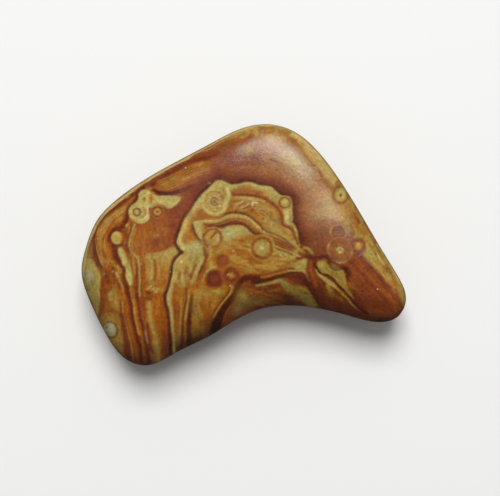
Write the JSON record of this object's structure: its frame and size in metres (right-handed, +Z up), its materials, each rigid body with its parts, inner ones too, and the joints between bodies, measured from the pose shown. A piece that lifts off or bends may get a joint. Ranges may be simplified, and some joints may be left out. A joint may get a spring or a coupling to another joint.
{
  "type": "tumbled porcelanite pebble",
  "caption": "Flat boomerang-shaped polished pebble of banded orbicular porcelanite, one solid stone that lies on a small flat worn spot.",
  "frame": {"origin": "on the table plane, under the middle of the stone's bounding box as it lies at rest", "axes": "+X runs along the stone's length towards the tapering snout, +Y runs across it away from the bay in its edge, +Z is up out of the domed crown face"},
  "size_m": [0.0317, 0.0239, 0.0088],
  "materials": {
    "porcelanite": "tumble-polished, wax-like soft gloss"
  },
  "bodies": {
    "root": {"pebble": "porcelanite"}
  },
  "joints": []
}
